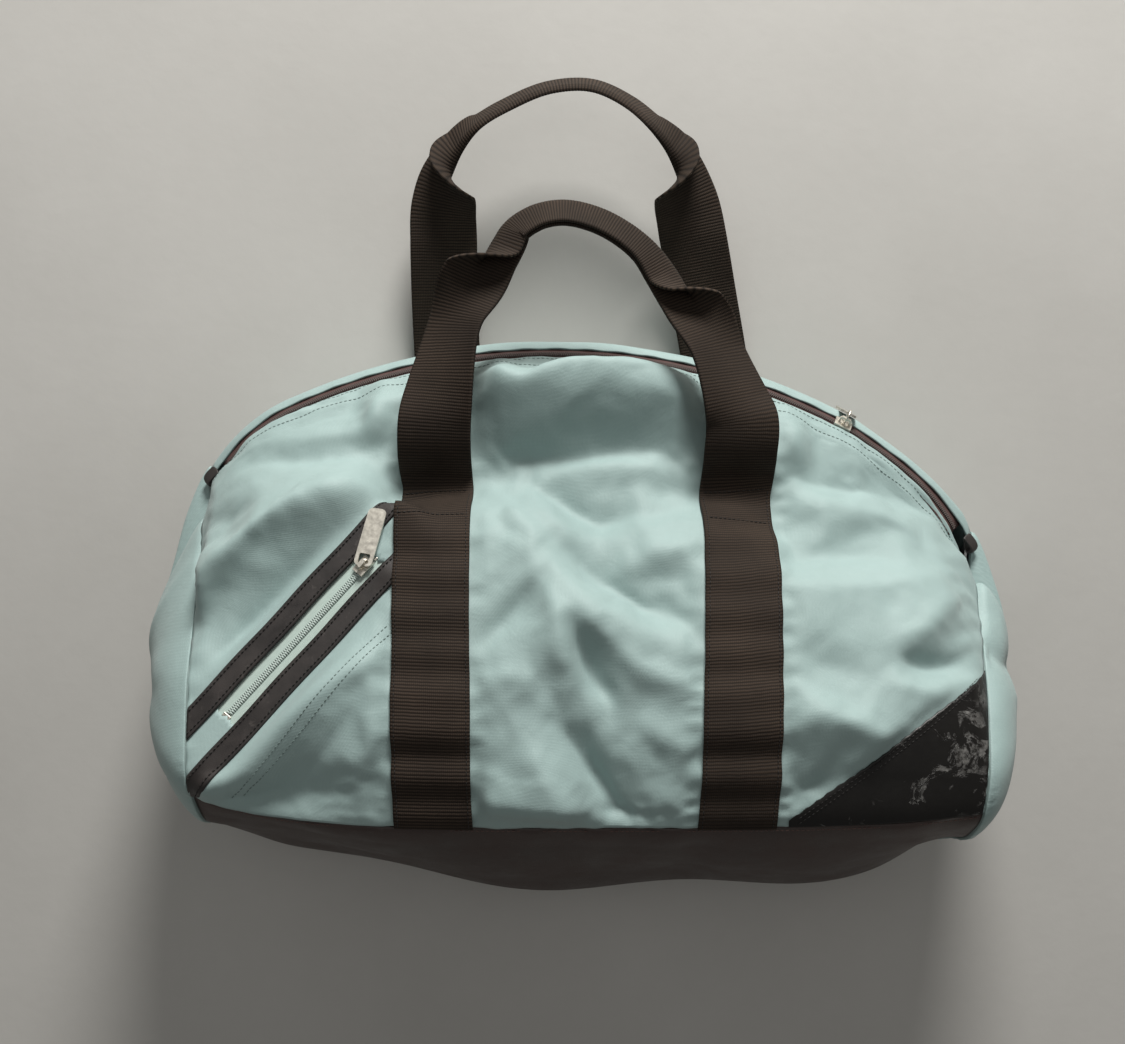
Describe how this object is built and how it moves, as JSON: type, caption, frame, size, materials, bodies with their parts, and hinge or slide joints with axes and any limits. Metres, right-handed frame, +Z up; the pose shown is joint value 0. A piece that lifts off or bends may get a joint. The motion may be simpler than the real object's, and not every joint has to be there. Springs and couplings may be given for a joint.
{
  "type": "duffel bag",
  "caption": "Small barrel duffel bag lying on its back, with a curved main zip, a slanted zipped front pocket, sewn webbing straps and carrying handles.",
  "frame": {"origin": "centre of the bounding box's base, on the floor that the bag lies on", "axes": "+Z up out of the front panel, +X along the bag to the right as its front is read, +Y from the base towards the main zip and the handles"},
  "size_m": [0.6039, 0.5928, 0.216],
  "materials": {
    "mint_fabric": "fine matt woven polyester with soft creases",
    "coated_base": "dark brown coated fabric, satin, finely grained",
    "webbing": "dark brown ribbed webbing, matt",
    "dark_trim": "dark brown synthetic leather, satin grain",
    "corner_patch": "near-black smooth coated fabric, worn glossy",
    "zip_coil": "brown nylon coil, satin",
    "zip_tape": "reddish brown herringbone tape",
    "pocket_tape": "pale green zip tape",
    "pocket_coil": "pale green nylon coil",
    "nickel": "satin nickel plate with brighter worn edges",
    "lining": "plain dark lining tape and cloth"
  },
  "bodies": {
    "bag": {"front_panel": "mint_fabric", "back_panel": "mint_fabric", "base_panel": "coated_base", "end_panel_left": "mint_fabric", "end_panel_right": "mint_fabric", "corner_patch": "corner_patch", "seam_binding_left": "lining", "seam_binding_right": "lining", "zip_tape_front": "zip_tape", "zip_tape_back": "zip_tape", "zip_coil": "zip_coil", "zip_end_tab_left": "dark_trim", "zip_end_tab_right": "dark_trim", "pocket_tape_upper": "pocket_tape", "pocket_tape_lower": "pocket_tape", "pocket_facing_upper": "dark_trim", "pocket_facing_lower": "dark_trim", "pocket_coil": "pocket_coil", "pocket_stop_top": "nickel", "pocket_stop_bottom": "nickel", "pocket_pouch": "lining", "front_strap_left": "webbing", "front_strap_right": "webbing", "back_strap_left": "webbing", "back_strap_right": "webbing"},
    "front_handle": {"front_handle": "webbing"},
    "back_handle": {"back_handle": "webbing"},
    "main_slider": {"main_slider": "nickel"},
    "main_pull": {"main_pull_ring": "nickel", "main_pull_tab": "nickel"},
    "pocket_slider": {"pocket_slider": "nickel"},
    "pocket_pull": {"pocket_pull": "nickel"}
  },
  "joints": [
    {"name": "front_handle_swing", "type": "hinge", "parent": "bag", "child": "front_handle", "pos_m": [0, 0.001, 0.15089], "axis": [1, 0, 0], "range_deg": [0, 115]},
    {"name": "back_handle_swing", "type": "hinge", "parent": "bag", "child": "back_handle", "pos_m": [0, 0.055, 0.0011], "axis": [1, 0, 0], "range_deg": [-10, 18]},
    {"name": "main_slider_run", "type": "hinge", "parent": "bag", "child": "main_slider", "pos_m": [-0.021, -0.359, 0.091], "axis": [0, 0, 1], "range_deg": [0, 51.5]},
    {"name": "main_pull_swing", "type": "hinge", "parent": "main_slider", "child": "main_pull", "pos_m": [0.18819, 0.03909, 0.0957], "axis": [0.8852, -0.4652, 0], "range_deg": [0, 75]},
    {"name": "pocket_slider_run", "type": "slide", "parent": "bag", "child": "pocket_slider", "axis": [-0.6545, -0.7311, 0.1929], "range_m": [0, 0.12]},
    {"name": "pocket_pull_swing", "type": "hinge", "parent": "pocket_slider", "child": "pocket_pull", "pos_m": [-0.14402, -0.06199, 0.17873], "axis": [0.9647, -0.1679, 0.2029], "range_deg": [0, 165]}
  ]
}
